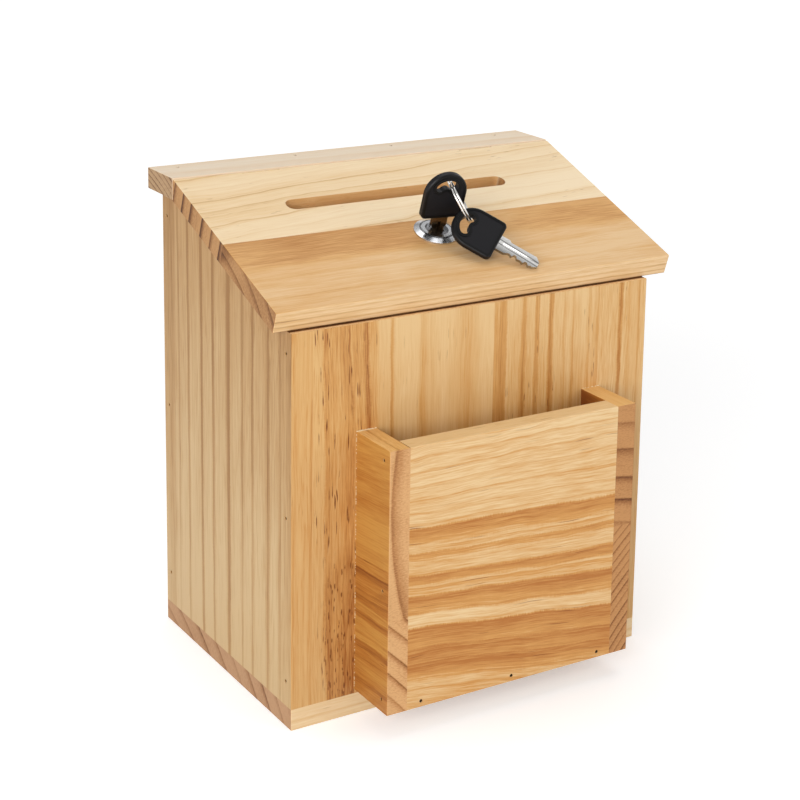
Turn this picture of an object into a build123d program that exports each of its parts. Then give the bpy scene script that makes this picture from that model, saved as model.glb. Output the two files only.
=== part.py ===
from build123d import *
import math
import os

# Suggestion box of edge-glued pine, with a sloping lid, a paper slot, a cam lock and a card pocket.
# Millimetres, front towards -Y and +Z up, with the origin on the floor under the middle of the whole box.

# Boards of the box
board = 10.5
box_width = 195.0
box_depth = 138.0
box_height = 238.0
box_shift = 3.0
strip_depth = 29.0
eased_edge = 0.5
front_seams = (-53.5, 8.5, 69.0)

# Reach of a cut that goes right through
through = 50.0

# Sloping lid
lid_length = 216.0
lid_angle = 19.6
lid_seat_gap = 0.3
lid_joint_gap = 0.2
lid_arris = 1.0
lid_seam = 56.5

# Paper slot in the lid
slot_length = 124.0
slot_width = 8.8
slot_up_slope = 82.0
slot_shift = 1.5

# Card pocket on the front
pocket_width = 135.0
pocket_depth = 30.0
pocket_bottom = 12.5
pocket_height = 126.0
pocket_left_seam = 45.5
pocket_right_seam = 65.5

# Panel pins that hold the boards
brad_length = 27.0
brad_shank = 0.6
brad_head = 0.8
brad_head_height = 0.7
brad_point = 2.0
brad_sink = 0.4
brad_play = 0.05
front_row_low = 12.1
front_row_high = 10.4
front_row_nudge = 1.0
rear_row_low = 16.3
rear_row_high = 13.7
rear_row_nudge = -3.7
strip_brad_inset = 7.0
strip_brad_spacing = 56.0
base_brad_inset = 22.0
base_brad_spacing = 90.0
pocket_row_low = 5.9
pocket_row_high = 5.7
pocket_row_nudge = -4.6
pocket_brad_length = 24.0
pocket_brad_rise = 2.8
pocket_brad_inset = 7.5

# Small butt hinges let into the joint under the ridge
hinge_spacing = 124.0
leaf_length = 20.0
leaf_height = 8.0
leaf_thickness = 0.45
knuckles = 3
knuckle_play = 0.1
knuckle_side_play = 0.1
pin_radius = 0.45
pin_play = 0.03
recess_play = 0.05
swing_play = 0.15
hinge_screw_spacing = 12.0
hinge_screw_drop = 5.0
hinge_screw_length = 7.0
hinge_screw_shank = 0.6
hinge_screw_head = 1.2

# Cam lock, along its own axis from the top of the lid
lock_shift = 1.5
lock_up_slope = 44.5
flange_radius = 11.0
flange_edge = 0.8
flange_height = 2.2
rim_radius = 7.9
groove_width = 0.4
groove_depth = 0.6
barrel_radius = 9.4
barrel_flats = 16.4
barrel_play = 0.1
housing_length = 16.0
nut_across = 24.0
nut_thickness = 3.0
nut_play = 0.05
plug_radius = 5.0
plug_head_radius = 5.7
plug_head_length = 3.4
plug_recess = 1.3
plug_play = 0.06
plug_tail = 0.8
stud_side = 6.6
stud_play = 0.05
cam_thickness = 2.0
cam_reach = 36.5
cam_width = 11.0
cam_hub = 7.0
cam_corner = 3.0
cam_screw_head = 4.6
cam_screw_head_height = 2.2
cam_screw_shank = 1.6
cam_screw_length = 4.0
cam_screw_play = 0.05
keyway_end_gap = 0.5

# Keeper inside the front, which the cam turns under
keeper_width = 15.0
keeper_thickness = 1.2
keeper_lip = 10.0
keeper_height = 24.0
keeper_gap = 0.4
keeper_screw_drop = 9.0
keeper_screw_spacing = 9.0
keeper_screw_length = 8.0
keeper_screw_shank = 1.1
keeper_screw_head = 2.2
screw_play = 0.05
screw_point = 1.6
screw_slot_width = 0.45
screw_slot_depth = 0.4

# Keys
key_head_width = 21.8
key_head_height = 24.1
key_head_thickness = 3.4
key_head_corner = 2.6
key_head_bevel = 0.5
key_rim = 1.5
key_face_depth = 0.3
key_hole_radius = 5.2
key_hole_width = 4.4
key_hole_spread = 45.0
blade_width = 7.9
blade_thickness = 2.0
blade_length = 21.5
blade_grip = 9.0
blade_grip_width = 6.0
blade_grip_play = 0.05
blade_neck = 4.5
blade_step = 0.9
blade_tip = 2.2
blade_groove_width = 1.5
blade_groove_depth = 0.5
blade_groove_stop = 2.25
blade_play = 0.1
cut_start = 2.4
cut_pitch = 3.0
cut_flat = 1.0
cut_crest = 0.3
cut_end = 2.64
cut_depths = (1.1, 1.9, 0.8, 1.6, 1.2)
key_standing = 9.0
key_turned = -4.5

# Spare key lying on the lid, placed by the lower edge of its head
spare_right = 17.3
spare_up_slope = 19.7
spare_heading = -46.0
spare_dip = 13.7
spare_bank = 27.2
spare_gap = 0.25

# Split ring through the holes of both heads
ring_radius = 12.0
ring_wire_width = 1.0
ring_wire_height = 1.1
ring_pitch = 1.25
ring_turns = 2
ring_key_angle = 24.0
ring_spare_angle = 34.0
ring_lean = 17.0
ring_start = 215.0

# Places that the sizes give
slope = math.radians(lid_angle)
rise = math.sin(slope)
run = math.cos(slope)
box_left = -box_shift - box_width / 2
box_right = -box_shift + box_width / 2
inner_left = box_left + board
inner_right = box_right - board
front_y = (pocket_depth - box_depth) / 2
back_y = front_y + box_depth
inner_front = front_y + board
inner_back = back_y - board
ridge_y = back_y - strip_depth
strip_bottom = box_height - board
lid_front_z = box_height - (ridge_y - front_y) * math.tan(slope)
panel_top = lid_front_z - board * run - lid_seat_gap
lid_rear_y = ridge_y - lid_joint_gap
lid_top_slope = (lid_rear_y - front_y) / run
lid_low_slope = (lid_rear_y - front_y - board * rise) / run
knuckle_radius = lid_arris - knuckle_play
hinge_y = lid_rear_y - lid_arris
hinge_slope = (hinge_y - front_y - lid_arris * rise) / run
hinge_z = lid_front_z + hinge_slope * rise - lid_arris * run
cam_top = -(housing_length + plug_tail)
cam_bottom = cam_top - cam_thickness
plug_top = flange_height - plug_recess
lid_place = Plane(origin=(0, front_y, lid_front_z), x_dir=(1, 0, 0), z_dir=(0, -rise, run)).location
lock_on_lid = Location((-lock_shift, lock_up_slope, 0))
lock_place = lid_place * lock_on_lid


def block(x, y, z):
    """Box between pairs of low and high sides."""
    size = Box(x[1] - x[0], y[1] - y[0], z[1] - z[0], align=(Align.MIN, Align.MIN, Align.MIN))
    return Pos(x[0], y[0], z[0]) * size


def turned(*points):
    """Solid turned about Z from (radius, height) points, closed along the axis."""
    outline = Polyline(*[(radius, 0, height) for radius, height in points], close=True)
    return revolve(make_face(outline), Axis.Z)


def along_x(points, low, high):
    """Solid with a (y, z) outline between two places along X."""
    outline = Polyline(*[(low, y, z) for y, z in points], close=True)
    return extrude(make_face(outline), high - low, dir=(1, 0, 0))


def rod(radius, low, high):
    """Cylinder about Z between two heights."""
    return Pos(0, 0, low) * Cylinder(radius, high - low, align=(Align.CENTER, Align.CENTER, Align.MIN))


def group(shape, places):
    """Copies of one shape at several places, as one group of solids."""
    return Compound(children=[place * shape for place in places])


def cut(shape, *tools):
    """Shape less every solid of the tools."""
    for tool in tools:
        shape = shape - tool.solids()
    return shape


def save(name, shape):
    """Writes one node of the box."""
    export_step(shape, f"parts/{name}.step")


# Fasteners stand with the top of the head at the origin and point down
def brad(length, play=0.0, cover=0.0):
    """Panel pin, or with play and a cover the hole that it is driven into."""
    head = brad_head + play
    shank = brad_shank + play
    shoulder = -brad_head_height - play
    points = [(0, cover), (head, cover), (head, shoulder), (shank, shoulder)]
    return turned(*points, (shank, -length + brad_point), (0, -length - play))


def screw(length, head, shank, play=0.0):
    """Countersunk wood screw, or with play its hole."""
    cone = head - shank
    points = [(0, play), (head + play, play), (shank + play, -cone)]
    body = turned(*points, (shank + play, -length + screw_point), (0, -length - play))
    if play == 0:
        return body - Box(through, screw_slot_width, 2 * screw_slot_depth)
    return body


def row_heights(low, high, nudge):
    """Low, middle and high places of a row of brads."""
    return [low, (low + high) / 2 + nudge, high]


def face_in_x(x, y, z, inward):
    """Place of a fastener driven along X, towards +X when inward is 1."""
    return Pos(x, y, z) * Rot(0, -90 * inward, 0)


def face_in_y(x, y, z, inward):
    """Place of a fastener driven along Y, towards +Y when inward is 1."""
    return Pos(x, y, z) * Rot(90 * inward, 0, 0)


def side_brad_places(outer_x, inward):
    """Brads through a side board into the edges of the front and back panels."""
    front = row_heights(board + front_row_low, panel_top - front_row_high, front_row_nudge)
    rear = row_heights(board + rear_row_low, strip_bottom - rear_row_high, rear_row_nudge)
    rows = [(front_y + board / 2, z) for z in front] + [(back_y - board / 2, z) for z in rear]
    return [face_in_x(outer_x + brad_sink * inward, y, z, inward) for y, z in rows]


def strip_brad_places():
    """Brads down through the top strip into the sides and the back."""
    side = box_width / 2 - board / 2
    inner = strip_brad_spacing / 2
    places = [-side, -inner, inner, side]
    return [Pos(x - box_shift, back_y - strip_brad_inset, box_height - brad_sink) for x in places]


def base_brad_places():
    """Brads up through the base board into all four walls."""
    side = box_width / 2 - board / 2
    inner = base_brad_spacing / 2
    places = []
    for x in (-side, side):
        for y in (front_y + base_brad_inset, (front_y + back_y) / 2, back_y - base_brad_inset):
            places.append((x - box_shift, y))
    for x in (-inner, inner):
        for y in (front_y + board / 2, back_y - board / 2):
            places.append((x - box_shift, y))
    return [Pos(x, y, brad_sink) * Rot(180, 0, 0) for x, y in places]


def pocket_side_brad_places():
    """Brads through both pocket sides into the ends of the pocket's front."""
    low = pocket_bottom + pocket_row_low
    high = pocket_bottom + pocket_height - pocket_row_high
    y = front_y - pocket_depth + board / 2
    places = []
    for side in (-1, 1):
        x = side * (pocket_width / 2 - brad_sink)
        for z in row_heights(low, high, pocket_row_nudge):
            places.append(face_in_x(x, y, z, -side))
    return places


def pocket_front_brad_places():
    """Brads through the pocket's front into the edge of its bottom board."""
    reach = pocket_width / 2 - board - pocket_brad_inset
    y = front_y - pocket_depth + brad_sink
    z = pocket_bottom + pocket_brad_rise
    return [face_in_y(x, y, z, 1) for x in (-reach, 0, reach)]


def make_case():
    """Base, walls and top strip, with the brads that hold them."""
    hole = brad(brad_length, brad_play, 2 * brad_sink)
    left_places = side_brad_places(box_left, 1)
    right_places = side_brad_places(box_right, -1)
    left_holes = group(hole, left_places)
    right_holes = group(hole, right_places)
    strip_holes = group(hole, strip_brad_places())
    base_holes = group(hole, base_brad_places())

    base = block((box_left, box_right), (front_y, back_y), (0, board))
    base = fillet(base.edges().filter_by(lambda edge: edge.center().Z < board - eased_edge), eased_edge)
    save("base_board", cut(base, base_holes))

    under_lid = (board + lid_seat_gap) / run
    flat_front = front_y + (panel_top - lid_front_z + under_lid) / math.tan(slope)
    flat_rear = front_y + (strip_bottom - lid_front_z + under_lid) / math.tan(slope)
    lower = [(front_y, board), (back_y, board), (back_y, strip_bottom), (flat_rear, strip_bottom)]
    profile = lower + [(flat_front, panel_top), (front_y, panel_top)]
    left = along_x(profile, box_left, inner_left)
    left = fillet(left.edges().filter_by(Axis.Z).group_by(Axis.X)[0], eased_edge)
    save("left_side_panel", cut(left, left_holes, strip_holes, base_holes))
    right = along_x(profile, inner_right, box_right)
    right = fillet(right.edges().filter_by(Axis.Z).group_by(Axis.X)[-1], eased_edge)
    save("right_side_panel", cut(right, right_holes, strip_holes, base_holes))

    back = block((inner_left, inner_right), (inner_back, back_y), (board, strip_bottom))
    save("back_panel", cut(back, left_holes, right_holes, strip_holes, base_holes))

    keeper_holes = group(keeper_screw(screw_play), keeper_screw_places())
    seams = [x - box_shift for x in front_seams if inner_left < x - box_shift < inner_right]
    edges = [inner_left] + seams + [inner_right]
    for number, (low, high) in enumerate(zip(edges, edges[1:]), start=1):
        stave = block((low, high), (front_y, inner_front), (board, panel_top))
        save(f"front_panel_stave_{number}", cut(stave, left_holes, right_holes, base_holes, keeper_holes))

    strip = block((-lid_length / 2, lid_length / 2), (ridge_y, back_y), (strip_bottom, box_height))
    strip = fillet(strip.edges().filter_by(lambda edge: edge.center().Y > ridge_y + eased_edge), eased_edge)
    recess = [place * fixed_leaf_recess() for place in hinge_places()]
    strip_screw_holes = group(hinge_screw(screw_play), strip_screw_places())
    save("top_strip", cut(strip, strip_holes, strip_screw_holes, *recess))

    save("left_side_brads", group(brad(brad_length), left_places))
    save("right_side_brads", group(brad(brad_length), right_places))
    save("strip_brads", group(brad(brad_length), strip_brad_places()))
    save("base_brads", group(brad(brad_length), base_brad_places()))


def front_corner(piece, side):
    """Upright outer edge at the front of a pocket side."""
    edges = piece.edges().filter_by(Axis.Z).group_by(Axis.Y)[0].sort_by(Axis.X)
    return edges[0] if side < 0 else edges[-1]


def make_pocket():
    """Card pocket: two-stave sides, a front between them and a bottom board behind it."""
    hole = brad(pocket_brad_length, brad_play, 2 * brad_sink)
    side_holes = group(hole, pocket_side_brad_places())
    front_holes = group(hole, pocket_front_brad_places())
    outer = pocket_width / 2
    inner = outer - board
    pocket_y = front_y - pocket_depth
    top = pocket_bottom + pocket_height
    for name, side, seam in (("left", -1, pocket_left_seam), ("right", 1, pocket_right_seam)):
        x = sorted((side * outer, side * inner))
        lower = block(x, (pocket_y, front_y), (pocket_bottom, pocket_bottom + seam))
        upper = block(x, (pocket_y, front_y), (pocket_bottom + seam, top))
        lower = fillet(front_corner(lower, side), eased_edge)
        top_edges = upper.edges().filter_by(Axis.Y).group_by(Axis.Z)[-1]
        upper = fillet([front_corner(upper, side)] + top_edges, eased_edge)
        save(f"pocket_{name}_lower", cut(lower, side_holes))
        save(f"pocket_{name}_upper", cut(upper, side_holes))

    front = block((-inner, inner), (pocket_y, pocket_y + board), (pocket_bottom, top))
    front = fillet(front.edges().filter_by(Axis.X).group_by(Axis.Z)[-1], eased_edge)
    save("pocket_front", cut(front, side_holes, front_holes))
    bottom = block((-inner, inner), (pocket_y + board, front_y), (pocket_bottom, pocket_bottom + board))
    save("pocket_bottom", cut(bottom, front_holes))
    save("pocket_side_brads", group(brad(pocket_brad_length), pocket_side_brad_places()))
    save("pocket_front_brads", group(brad(pocket_brad_length), pocket_front_brad_places()))


def make_lid():
    """Two glued staves with the slot, the lock's hole and the hinge recesses."""
    half = lid_length / 2
    front = block((-half, half), (0, lid_seam), (-board, 0))
    front = fillet(front.edges().filter_by(lambda edge: edge.center().Y < lid_seam - eased_edge), eased_edge)
    lock_hole = lock_on_lid * rod(barrel_radius + barrel_play, -through, through)
    save("lid_front_stave", lid_place * cut(front, lock_hole))

    profile = [(lid_seam, -board), (lid_low_slope, -board), (lid_top_slope, 0), (lid_seam, 0)]
    rear = along_x(profile, -half, half)
    rear = fillet(rear.edges().filter_by(Axis.X).group_by(Axis.Y)[-1], lid_arris)
    ends = rear.edges().filter_by(Axis.Y).filter_by(lambda edge: abs(edge.center().X) > half - eased_edge)
    rear = fillet(ends, eased_edge)
    slot = extrude(SlotOverall(slot_length, slot_width), through, both=True)
    rear = cut(rear, Pos(-slot_shift, slot_up_slope, 0) * slot, lock_hole)
    recess = [place * moving_leaf_recess() for place in hinge_places()]
    screw_holes = group(hinge_screw(screw_play), lid_screw_places())
    save("lid_rear_stave", cut(lid_place * rear, screw_holes, *recess))


# Each hinge is drawn in the middle of the box, its pin along X at the hinge's axis
def hinge_places():
    """Left and right hinge."""
    return [Pos(side * hinge_spacing / 2, 0, 0) for side in (-1, 1)]


def hinge_screw(play=0.0):
    """Screw of the hinge leaves, or its hole."""
    return screw(hinge_screw_length, hinge_screw_head, hinge_screw_shank, play)


def hinge_screw_xs():
    """Places of the hinge screws along the ridge."""
    pairs = [place.position.X for place in hinge_places()]
    return [x + side * hinge_screw_spacing / 2 for x in pairs for side in (-1, 1)]


def strip_screw_places():
    """Screws of the fixed leaves, into the strip."""
    return [face_in_y(x, ridge_y, hinge_z - hinge_screw_drop, 1) for x in hinge_screw_xs()]


def lid_screw_places():
    """Screws of the moving leaves, into the lid."""
    return [face_in_y(x, lid_rear_y, hinge_z - hinge_screw_drop, -1) for x in hinge_screw_xs()]


def knuckle(low, high, play=0.0):
    """Knuckle or, with play, the hollow round it, between two places along X."""
    return Pos(0, hinge_y, hinge_z) * Rot(0, 90, 0) * rod(knuckle_radius + play, low, high)


def pin_hole():
    """Hole through the knuckles of one hinge."""
    return Pos(0, hinge_y, hinge_z) * Rot(0, 90, 0) * rod(pin_radius + pin_play, -through, through)


def leaf_bounds():
    """Half the hinge and half the middle knuckle, along X."""
    return leaf_length / 2, leaf_length / 2 / knuckles


def fixed_leaf():
    """Leaf on the strip, cranked forwards under its two outer knuckles."""
    half, middle = leaf_bounds()
    top = hinge_z - knuckle_radius + leaf_thickness
    leaf = block((-half, half), (ridge_y, ridge_y + leaf_thickness), (hinge_z - leaf_height, top))
    for low, high in ((-half, -middle), (middle, half)):
        web = block((low, high), (hinge_y, ridge_y + leaf_thickness), (top - leaf_thickness, top))
        leaf = leaf + web + knuckle(low, high)
    return leaf - pin_hole()


def moving_leaf():
    """Leaf on the lid, rising into the middle knuckle."""
    half, middle = leaf_bounds()
    inside = middle - knuckle_side_play
    low_top = hinge_z - knuckle_radius - swing_play
    y = (lid_rear_y - leaf_thickness, lid_rear_y)
    leaf = block((-half, half), y, (hinge_z - leaf_height, low_top))
    leaf = leaf + block((-inside, inside), y, (low_top, hinge_z)) + knuckle(-inside, inside)
    return leaf - pin_hole()


def fixed_leaf_recess():
    """Room for the fixed leaf in the strip."""
    half = leaf_length / 2 + recess_play
    top = hinge_z - knuckle_radius + leaf_thickness + recess_play
    deep = ridge_y + leaf_thickness + recess_play
    return block((-half, half), (ridge_y - through, deep), (hinge_z - leaf_height - recess_play, top))


def moving_leaf_recess():
    """Room for the moving leaf and all the knuckles in the lid."""
    half = leaf_length / 2 + recess_play
    plate_y = lid_rear_y - leaf_thickness - recess_play
    beyond = lid_rear_y + through
    plate = block((-half, half), (plate_y, beyond), (hinge_z - leaf_height - recess_play, hinge_z))
    crank = block((-half, half), (hinge_y, beyond), (hinge_z - knuckle_radius - swing_play, hinge_z))
    return plate + crank + knuckle(-half, half, knuckle_play + swing_play)


def make_hinges():
    """Both hinges with their pins and screws."""
    pin = Pos(0, hinge_y, hinge_z) * Rot(0, 90, 0) * rod(pin_radius, -leaf_length / 2, leaf_length / 2)
    for name, place in zip(("left", "right"), hinge_places()):
        holes = group(hinge_screw(screw_play), strip_screw_places())
        save(f"{name}_hinge_fixed_leaf", cut(place * fixed_leaf(), holes))
        holes = group(hinge_screw(screw_play), lid_screw_places())
        save(f"{name}_hinge_moving_leaf", cut(place * moving_leaf(), holes))
        save(f"{name}_hinge_pin", place * pin)
    save("hinge_strip_screws", group(hinge_screw(), strip_screw_places()))
    save("hinge_lid_screws", group(hinge_screw(), lid_screw_places()))


def make_lock():
    """Cam lock: housing, nut, plug with its keyway, cam and the cam's screw."""
    bore = plug_radius + plug_play
    wide_bore = plug_head_radius + plug_play
    shoulder = plug_top - plug_head_length - plug_play
    rim_inside = rim_radius - groove_width
    floor = flange_height - groove_depth
    inside = [(wide_bore, 0), (wide_bore, flange_height)]
    groove = [(rim_inside, flange_height), (rim_inside, floor), (rim_radius, floor)]
    outside = [(rim_radius, flange_height), (flange_radius, flange_edge), (flange_radius, 0)]
    flange = turned(*inside, *groove, *outside)
    barrel = rod(barrel_radius, -housing_length, 0) & Box(through, barrel_flats, through)
    barrel = barrel - rod(bore, -through, 0) - rod(wide_bore, shoulder, 0)
    save("lock_housing", lock_place * (flange + barrel))

    nut = extrude(RegularPolygon(nut_across / 2, 6, major_radius=False), nut_thickness)
    nut = Pos(0, 0, -board - nut_thickness) * nut - rod(barrel_radius + nut_play, -through, 0)
    save("lock_nut", lock_place * nut)

    plug = rod(plug_radius, cam_top, plug_top)
    plug = plug + rod(plug_head_radius, plug_top - plug_head_length, plug_top)
    half = stud_side / 2
    stud = block((-half, half), (-half, half), (cam_bottom, cam_top))
    deep = cam_bottom + cam_screw_length + cam_screw_play
    screw_hole = rod(cam_screw_shank + cam_screw_play, cam_bottom, deep)
    turn = Rot(0, 0, key_turned)
    save("lock_plug", lock_place * (plug + stud - turn * keyway() - screw_hole))

    arm = Pos(cam_reach / 2, 0) * RectangleRounded(cam_reach, cam_width, cam_corner)
    hole = Rectangle(stud_side + 2 * stud_play, stud_side + 2 * stud_play)
    cam = extrude(Circle(cam_hub) + arm - hole, cam_thickness)
    save("lock_cam", lock_place * Pos(0, 0, cam_bottom) * cam)

    cam_screw = rod(cam_screw_head, -cam_screw_head_height, 0) + rod(cam_screw_shank, 0, cam_screw_length)
    slot = Box(through, 2 * screw_slot_width, 2 * screw_slot_depth)
    cam_screw = cam_screw - Pos(0, 0, -cam_screw_head_height) * slot
    save("cam_screw", lock_place * Pos(0, 0, cam_bottom) * cam_screw)


def keyway():
    """Hollow for the blade, with ridges that fit its grooves."""
    deep = key_standing - blade_length - keyway_end_gap
    half = blade_width / 2 + blade_play
    thick = blade_thickness / 2 + blade_play
    ridge = blade_groove_width / 2 - blade_play
    hollow = block((-half, half), (-thick, thick), (deep, through))
    for side in (-1, 1):
        y = sorted((side * (thick - blade_groove_depth), side * through))
        hollow = hollow - block((-ridge, ridge), y, (deep, through))
    return hollow


def keeper_top():
    """Place up the slope and along the lid's normal where the lip's top meets the front panel."""
    normal = cam_top + keeper_gap + keeper_thickness
    return (board + normal * rise) / run, normal


def keeper_top_z():
    """Height of the keeper's upper edge on the panel."""
    along, normal = keeper_top()
    return lid_front_z + along * rise + normal * run


def keeper_screw(play=0.0):
    """Screw of the keeper, or its hole."""
    return screw(keeper_screw_length, keeper_screw_head, keeper_screw_shank, play)


def keeper_screw_places():
    """Two screws one over the other, into the front panel."""
    y = inner_front + keeper_thickness
    heights = [keeper_top_z() - keeper_screw_drop - step * keeper_screw_spacing for step in (0, 1)]
    return [face_in_y(-lock_shift, y, z, -1) for z in heights]


def make_keeper():
    """Bent steel keeper on the inside of the front."""
    along, normal = keeper_top()
    half = keeper_width / 2
    x = (-lock_shift - half, -lock_shift + half)
    lip = lid_place * block(x, (along, along + keeper_lip), (normal - keeper_thickness, normal))
    top = keeper_top_z()
    plate = block(x, (inner_front, inner_front + keeper_thickness), (top - keeper_height, top))
    holes = group(keeper_screw(screw_play), keeper_screw_places())
    save("keeper", cut(lip + plate, holes))
    save("keeper_screws", group(keeper_screw(), keeper_screw_places()))


# A key is drawn upright: width along X, blade down, and the head's lower edge at the origin
def head_outline(inset=0.0):
    """Head with a round top and two rounded lower corners."""
    radius = key_head_width / 2
    straight = key_head_height - radius
    sides = Pos(0, straight / 2) * Rectangle(key_head_width, straight)
    outline = sides + Pos(0, straight) * Circle(radius)
    outline = fillet(outline.vertices().group_by(Axis.Y)[0], key_head_corner)
    return offset(outline, -inset) if inset else outline


def head_hole(grow=0.0):
    """Kidney-shaped hole that follows the round top."""
    middle = (0, key_head_height - key_head_width / 2)
    arc = CenterArc(middle, key_hole_radius, 90 - key_hole_spread, 2 * key_hole_spread)
    return SlotArc(arc, key_hole_width + 2 * grow)


def key_head():
    """Plastic head with a raised rim and the blade's pocket."""
    half = key_head_thickness / 2
    head = extrude(Plane.XZ * head_outline(), half, both=True)
    head = chamfer(head.faces().filter_by(Axis.Y).edges(), key_head_bevel)
    field = Plane.XZ * (head_outline(key_rim) - head_hole(key_rim))
    for side in (-1, 1):
        head = head - Pos(0, side * half, 0) * extrude(field, key_face_depth, both=True)
    head = head - extrude(Plane.XZ * head_hole(), key_head_thickness, both=True)
    grip = blade_grip_width / 2 + blade_grip_play
    thick = blade_thickness / 2 + blade_grip_play
    return head - block((-grip, grip), (-thick, thick), (-through, blade_grip + blade_grip_play))


def key_blade():
    """Blade with a grip in the head, a stepped back, a groove in each face and its cuts."""
    half = blade_width / 2
    grip = blade_grip_width / 2
    back = half - blade_step
    points = [(-grip, blade_grip), (grip, blade_grip), (grip, 0), (half, 0), (half, -blade_neck)]
    points += [(back, -blade_neck - blade_step), (back, -blade_length + blade_tip)]
    points += [(back - blade_tip, -blade_length), (blade_tip - half, -blade_length)]
    points += [(-half + blade_step, -blade_length + blade_tip)]
    edge = [(-half, -blade_neck)]
    for number, depth in enumerate(cut_depths):
        middle = -blade_neck - cut_start - number * cut_pitch
        edge += [(-half + depth, middle + cut_flat / 2), (-half + depth, middle - cut_flat / 2)]
        edge += [(-half + cut_crest * depth, middle - cut_pitch / 2)]
    points += [point for point in reversed(edge) if point[1] > -blade_length + cut_end]
    points += [(-half, 0), (-grip, 0)]
    outline = make_face(Polyline(*points, close=True))
    blade = extrude(Plane.XZ * outline, blade_thickness / 2, both=True)
    groove = blade_groove_width / 2
    for side in (-1, 1):
        y = sorted((side * (blade_thickness / 2 - blade_groove_depth), side * through))
        blade = blade - block((-groove, groove), y, (-through, -blade_groove_stop))
    return blade


def key_place():
    """Key in the lock, on the lid."""
    return lock_on_lid * Pos(0, 0, key_standing) * Rot(0, 0, key_turned)


def spare_place():
    """Spare key on the lid, laid down and lowered until its lowest point nearly touches."""
    flat = Plane(origin=(0, 0, 0), x_dir=(0, 1, 0), z_dir=(-1, 0, 0)).location
    turned_down = Rot(0, 0, spare_heading) * Rot(0, spare_dip, 0) * Rot(spare_bank, 0, 0) * flat
    lowest = (turned_down * (key_head() + key_blade())).bounding_box().min.Z
    return Pos(spare_right, spare_up_slope, spare_gap - lowest) * turned_down


def ring_seat(place, angle):
    """Point in a key's hole that the ring passes, at an angle from the middle of the hole."""
    across = key_hole_radius * math.sin(math.radians(angle))
    up = key_head_height - key_head_width / 2 + key_hole_radius * math.cos(math.radians(angle))
    return (place * Pos(across, 0, up)).position


def ring_place():
    """Plane of the split ring, through its seats in both heads."""
    first = ring_seat(key_place(), ring_key_angle)
    second = ring_seat(spare_place(), ring_spare_angle)
    chord = (second - first).normalized()
    upslope = Vector(0, 1, 0)
    towards = (upslope - chord * upslope.dot(chord)).normalized()
    towards = towards.rotate(Axis((0, 0, 0), chord), ring_lean)
    half = (second - first).length / 2
    middle = (first + second) * 0.5
    centre = middle + towards * math.sqrt(ring_radius**2 - half**2)
    return Plane(origin=centre, x_dir=first - centre, z_dir=chord.cross(towards)).location


def split_ring():
    """Flat wire wound in a helix, centred on its plane."""
    height = ring_pitch * ring_turns
    path = Helix(pitch=ring_pitch, height=height, radius=ring_radius)
    start = Plane(origin=path @ 0, x_dir=(1, 0, 0), z_dir=path % 0)
    wire = sweep(start * Rectangle(ring_wire_height, ring_wire_width), path=path, is_frenet=True)
    return Rot(0, 0, ring_start) * Pos(0, 0, -height / 2) * wire


def make_keys():
    """Key in the lock, the spare key and the ring that joins them."""
    save("key_head", lid_place * key_place() * key_head())
    save("key_blade", lid_place * key_place() * key_blade())
    save("spare_key_head", lid_place * spare_place() * key_head())
    save("spare_key_blade", lid_place * spare_place() * key_blade())
    save("split_ring", lid_place * ring_place() * split_ring())


def describe(name, place, axis):
    """Prints a joint's place and axis."""
    point = place.position
    print(name, [round(value, 3) for value in point], [round(value, 5) for value in axis])


os.makedirs("parts", exist_ok=True)
make_case()
make_pocket()
make_lid()
make_hinges()
make_lock()
make_keeper()
make_keys()

first_seat = lid_place * Pos(*ring_seat(key_place(), ring_key_angle))
second_seat = lid_place * Pos(*ring_seat(spare_place(), ring_spare_angle))
describe("lid hinge", Pos(0, hinge_y, hinge_z), (-1, 0, 0))
describe("lock", lock_place, Plane(lock_place).z_dir)
describe("ring at the key", first_seat, -Plane(lid_place * key_place()).y_dir)
describe("spare key at the ring", second_seat, -Plane(lid_place * spare_place()).y_dir)
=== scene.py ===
import math
import random

import bpy
from mathutils import Matrix, Vector


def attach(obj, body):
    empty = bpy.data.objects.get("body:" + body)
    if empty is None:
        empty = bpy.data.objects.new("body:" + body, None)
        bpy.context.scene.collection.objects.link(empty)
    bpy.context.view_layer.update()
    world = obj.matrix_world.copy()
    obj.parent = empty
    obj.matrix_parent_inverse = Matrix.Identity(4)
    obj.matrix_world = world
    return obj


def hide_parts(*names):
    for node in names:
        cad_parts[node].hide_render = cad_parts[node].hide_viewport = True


# Suggestion box of edge-glued pine. The CAD parts get their wood, metal and plastic here,
# and the round ring wire, the glue beads, the floor, the light and the camera are added.

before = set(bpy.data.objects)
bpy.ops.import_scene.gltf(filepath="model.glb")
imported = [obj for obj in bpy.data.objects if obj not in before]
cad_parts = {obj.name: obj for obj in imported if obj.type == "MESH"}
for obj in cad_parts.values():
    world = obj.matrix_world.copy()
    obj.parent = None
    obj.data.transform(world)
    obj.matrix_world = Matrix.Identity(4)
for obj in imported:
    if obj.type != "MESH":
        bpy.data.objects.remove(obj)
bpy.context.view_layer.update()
print("frame loaded:", len(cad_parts), "nodes")


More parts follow.
